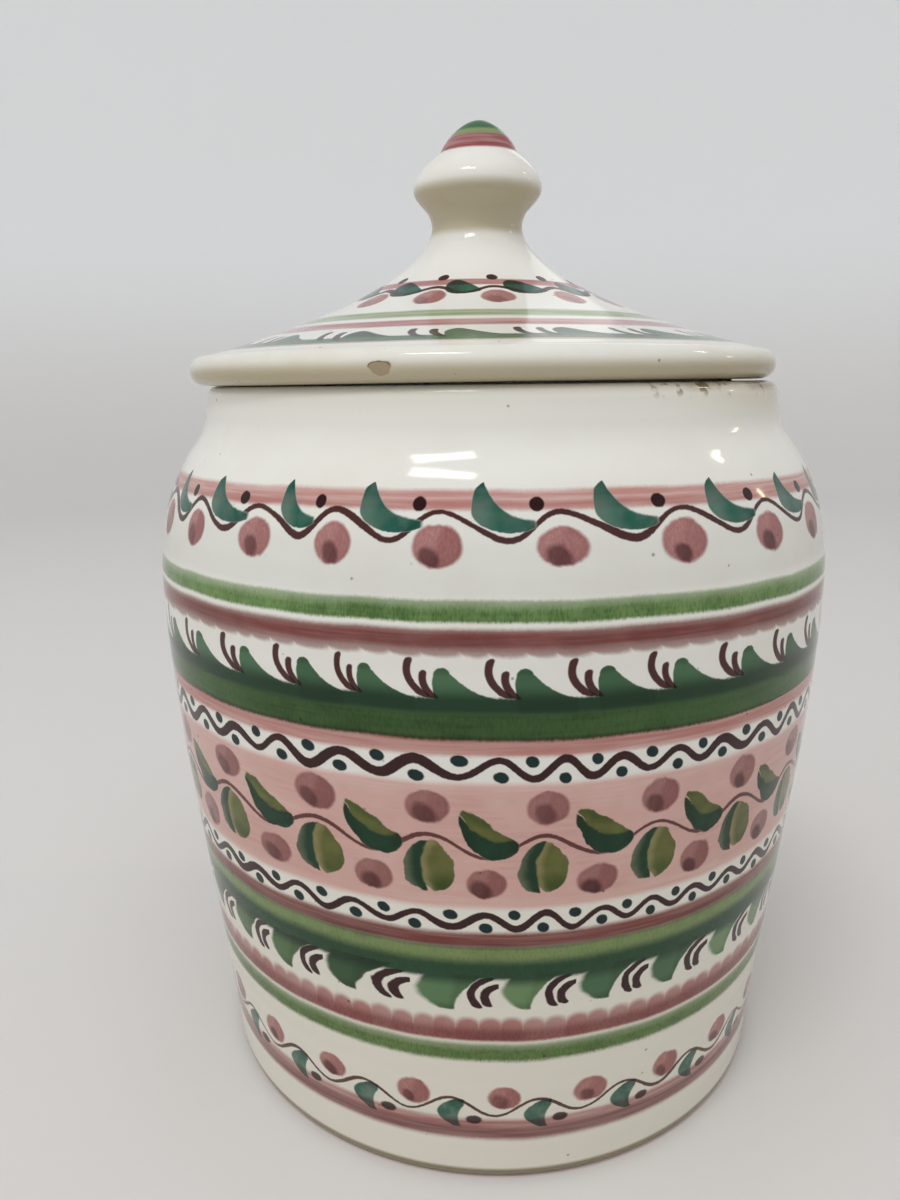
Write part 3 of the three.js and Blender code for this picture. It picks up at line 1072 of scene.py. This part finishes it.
def cone_paint():
    p = Painter("cone_paint", LID_X)
    p.height = (CONE_RADIUS - p.radius) * CONE_SLANT + (p.height - p.z)
    # Painted shade: warmer, darker glaze in the hollow of the waist under the knob
    waist = p.z.rise(216.8, 219.4)
    p.ground((p.height.rise(5, 0) * 0.5).above(waist * 0.7))
    p.wash(WARM_SHADE, waist)
    fin_row(p)
    p.soft_band(*LID_ROSE_RING, ROSE_DEEP, 1.4)
    p.soft_band(*LID_GREEN_RING, MOSS, 1.6)
    lid_leaf_row(p)
    return p.finish()


def rim_paint():
    p = Painter("rim_paint", LID_X)
    # Painted shade: the rim's lower half, facing away from the light above, is made warmer and darker, and
    # so are its sides, most on the right
    p.ground((p.z.rise(187.4, 183.0) * 0.95).above(p.cloud.rise(0.3, 0.8) * 0.6))
    p.wash(WARM_SHADE, p.z.rise(186.8, 184.0) * 0.9)
    on_right = p.sector(15, 70, 110, 165)
    on_left = p.sector(-10, -50, -110, -165)
    p.wash(WARM_SHADE, (on_right * 0.75 + on_left * 0.3) * p.z.rise(188.6, 186.0))
    p.wash(GRIME_AND_SHADE, p.turn.rise(-62, -84) * p.z.rise(186.2, 183.6) * p.cloud.rise(0.3, 0.6) * 0.4)
    across = (p.turn - CHIP_TURN) * math.radians(LID_RADIUS)
    up = p.z - CHIP_HEIGHT
    ragged = (p.noise(0.5, 3) - 0.5) * 1.3
    narrow = 1 - up * 0.16
    far = ((across * narrow / CHIP_WIDE).squared() + (up / CHIP_TALL).squared()).root()
    chip = (far - 1) * 2 + ragged
    p.color = p.mixed(within(chip, 0.35), p.color, CHIP_CLAY)
    p.wash(CHIP_EDGE, within((chip - 0.05).size() - 0.16, 0.3) * up.rise(-0.2, 0.9))
    return p.finish()


def knob_paint():
    p = Painter("knob_paint", LID_X)
    p.height = p.z + (p.height - p.z) * 0.45
    # Painted shade: the knob's underside, facing away from the light above, is made warmer and darker
    under = p.z.rise(230.6, 227.4)
    p.ground(under * 0.7)
    p.wash(WARM_SHADE, under)
    p.soft_band(237.6, 241.4, TIP_RED, 0.9, 0.25)
    p.wash(MOSS, p.height.rise(240.9, 241.6))
    p.wash(TIP_GREEN, p.height.rise(242.2, 243.2))
    return p.finish()


# The two pieces

POT_ZONES = [(145.6, shoulder_paint), (113.0, upper_bands_paint), (68.2, middle_paint),
             (33.0, lower_bands_paint), (-1.0, foot_paint)]


def pot_slot(section, height):
    if section == "outside":
        return next(i for i, (low, _) in enumerate(POT_ZONES) if height > low)
    return len(POT_ZONES) + (section == "under")


# Places on the bake maps, as shares of a map's side
OUTSIDE_WIDE, OUTSIDE_TALL, MARGIN, INSIDE_LEFT, INSIDE_WIDE = 0.72, 0.485, 0.005, 0.735, 0.25
FOOT_CENTER, FOOT_DISC = (0.86, 0.76), 0.12
TOP_CENTER, TOP_DISC, UNDER_CENTER, UNDER_DISC = (0.43, 0.57), 0.42, (0.85, 0.15), 0.14
LID_SHARES = {"rim": (1.0, 0.88), "cone": (0.88, 0.26), "knob": (0.26, 0.0)}


def pot_unrolled(section, share, turn, second_half):
    """The outside as two half turns one above the other, the inside as a strip, the foot as a disc."""
    if section == "outside":
        return OUTSIDE_WIDE * (turn * 2 - second_half), MARGIN + 0.5 * second_half + OUTSIDE_TALL * share
    if section == "inside":
        return INSIDE_LEFT + INSIDE_WIDE * share, MARGIN + 0.5 * turn
    return polar(FOOT_CENTER, FOOT_DISC * share, turn)


def make_pot():
    pot = turned("painted_pot", pot_sections(), POT_TURNS, pot_slot, shape_pot, pot_unrolled)
    for material in [make() for _, make in POT_ZONES] + [plain_glaze(), bare_clay()]:
        pot.data.materials.append(material)
    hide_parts("jar_body")
    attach(pot, "pot")
    return pot


LID_SECTIONS = ["under", "rim", "cone", "knob"]


def lid_slot(section, height):
    return LID_SECTIONS.index(section)


def lid_unrolled(section, share, turn, second_half):
    """The top as a disc round the tip, the underside as a smaller one."""
    if section == "under":
        return polar(UNDER_CENTER, UNDER_DISC * share, -turn)
    outer, inner = LID_SHARES[section]
    return polar(TOP_CENTER, TOP_DISC * (outer + (inner - outer) * share), turn)


def make_lid(plain):
    lid = turned("painted_lid", lid_sections(), LID_TURNS, lid_slot, shape_lid, lid_unrolled)
    for material in (plain, rim_paint(), cone_paint(), knob_paint()):
        lid.data.materials.append(material)
    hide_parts("lid")
    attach(lid, "lid")


# Floor, light and camera

TABLE_COLOR, WALL_COLOR, WALL_FROM = (0.70, 0.68, 0.655), (0.90, 0.905, 0.91), 0.5
SKY_COLOR, SKY_STRENGTH = (0.95, 0.97, 1.0, 1), 0.47
WARM_WHITE, AMBER, COOL_WHITE = (1.0, 0.85, 0.66), (1.0, 0.75, 0.5), (0.97, 0.99, 1.0)


def studio_material():
    """A pale tabletop that turns into a paler wall on the way up."""
    material = bpy.data.materials.new("studio")
    material.use_nodes = True
    tree = material.node_tree
    place = tree.nodes.new("ShaderNodeTexCoord").outputs["Object"]
    split = tree.nodes.new("ShaderNodeSeparateXYZ")
    tree.links.new(place, split.inputs[0])
    height = Field(tree, split.outputs["Z"]).rise(0.0, WALL_FROM)
    shader = tree.nodes["Principled BSDF"]
    tree.links.new(mixed(tree, height, TABLE_COLOR, WALL_COLOR), shader.inputs["Base Color"])
    shader.inputs["Roughness"].default_value = 0.6
    return material


FLAT_RADIUS, FLOOR_RADIUS, COVE_RADIUS, STUDIO_HEIGHT = 0.2, 1.2, 0.7, 1.5
STUDIO_TURNS, COVE_STEPS = 96, 16


def make_floor():
    """A round pale studio: a floor that curves up into a low wall."""
    line = [(FLAT_RADIUS, 0.0), (FLOOR_RADIUS, 0.0)]
    for angle in np.radians(np.linspace(0, 90, COVE_STEPS + 1))[1:]:
        line.append((FLOOR_RADIUS + COVE_RADIUS * math.sin(angle), COVE_RADIUS * (1 - math.cos(angle))))
    line.append((FLOOR_RADIUS + COVE_RADIUS, STUDIO_HEIGHT))
    around = 2 * np.pi * np.arange(STUDIO_TURNS) / STUDIO_TURNS
    vertices = [(r * math.cos(a), r * math.sin(a), z) for r, z in line for a in around]
    faces = [tuple(range(STUDIO_TURNS))]
    for ring in range(len(line) - 1):
        for step in range(STUDIO_TURNS):
            low, after = ring * STUDIO_TURNS, (step + 1) % STUDIO_TURNS
            high = low + STUDIO_TURNS
            faces.append((low + step, high + step, high + after, low + after))
    mesh = bpy.data.meshes.new("floor")
    mesh.from_pydata(vertices, [], faces)
    mesh.polygons.foreach_set("use_smooth", [True] * len(faces))
    floor = bpy.data.objects.new("floor", mesh)
    bpy.context.collection.objects.link(floor)
    floor.data.materials.append(studio_material())


def make_world():
    world = bpy.data.worlds.new("studio")
    bpy.context.scene.world = world
    world.use_nodes = True
    sky = world.node_tree.nodes["Background"]
    sky.inputs["Color"].default_value = SKY_COLOR
    sky.inputs["Strength"].default_value = SKY_STRENGTH


MIDDLE = Vector((0, 0, 0.16))


def area_lamp(name, turn, rise, distance, wide, tall, watts, color=(1, 1, 1), mirrored=True):
    """A rectangle of light that faces the jar's middle; one that isn't mirrored leaves no highlight.

    Its turn from the front to the right and its rise are in degrees, as seen from the jar's middle.
    """
    data = bpy.data.lights.new(name, "AREA")
    data.shape = "RECTANGLE"
    data.size, data.size_y = wide, tall
    data.energy = watts
    data.color = color
    lamp = bpy.data.objects.new(name, data)
    lamp.visible_glossy = mirrored
    lamp.visible_camera = False
    bpy.context.collection.objects.link(lamp)
    turn, rise = math.radians(turn), math.radians(rise)
    flat = math.cos(rise)
    away = Vector((flat * math.sin(turn), -flat * math.cos(turn), math.sin(rise))) * distance
    lamp.matrix_world = Matrix.LocRotScale(MIDDLE + away, away.to_track_quat("Z", "Y"), None)


def make_lights():
    area_lamp("panel", -24.5, 61, 1.9, 0.6, 0.2, 7.2)
    area_lamp("ceiling", 0, 70, 1.8, 1.5, 1.5, 10.3, mirrored=False)
    area_lamp("window", -70, 30, 1.5, 1.0, 1.0, 2.5, COOL_WHITE, mirrored=False)
    area_lamp("bulb", 105, 36, 1.5, 0.045, 0.11, 0.4, WARM_WHITE)
    area_lamp("low_bulb", 105, 17.5, 1.5, 0.04, 0.1, 0.3, AMBER)
    area_lamp("door", 166, 33, 1.7, 0.5, 0.5, 0.4)


CAMERA_DISTANCE, CAMERA_HEIGHT = 249.7, 182.1
CAMERA_PITCH, CAMERA_YAW, CAMERA_ROLL = 13.71, 2.54, -0.65
FOCAL_PIXELS, FRAME_PIXELS, SENSOR = 900, 1200, 36


def make_camera():
    data = bpy.data.cameras.new("camera")
    data.sensor_width = SENSOR
    data.lens = FOCAL_PIXELS * SENSOR / FRAME_PIXELS
    data.clip_start = 0.01
    camera = bpy.data.objects.new("camera", data)
    bpy.context.collection.objects.link(camera)
    aim = Matrix.Rotation(math.radians(CAMERA_YAW), 4, "Z")
    tilt = Matrix.Rotation(math.radians(90 - CAMERA_PITCH), 4, "X")
    roll = Matrix.Rotation(math.radians(CAMERA_ROLL), 4, "Z")
    place = Matrix.Translation((0, -CAMERA_DISTANCE * MM, CAMERA_HEIGHT * MM))
    camera.matrix_world = place @ aim @ tilt @ roll
    bpy.context.scene.camera = camera


make_camera()
pot = make_pot()
make_lid(pot.data.materials["plain_glaze"])
make_floor()
make_world()
make_lights()
bpy.context.scene.view_settings.view_transform = "Standard"
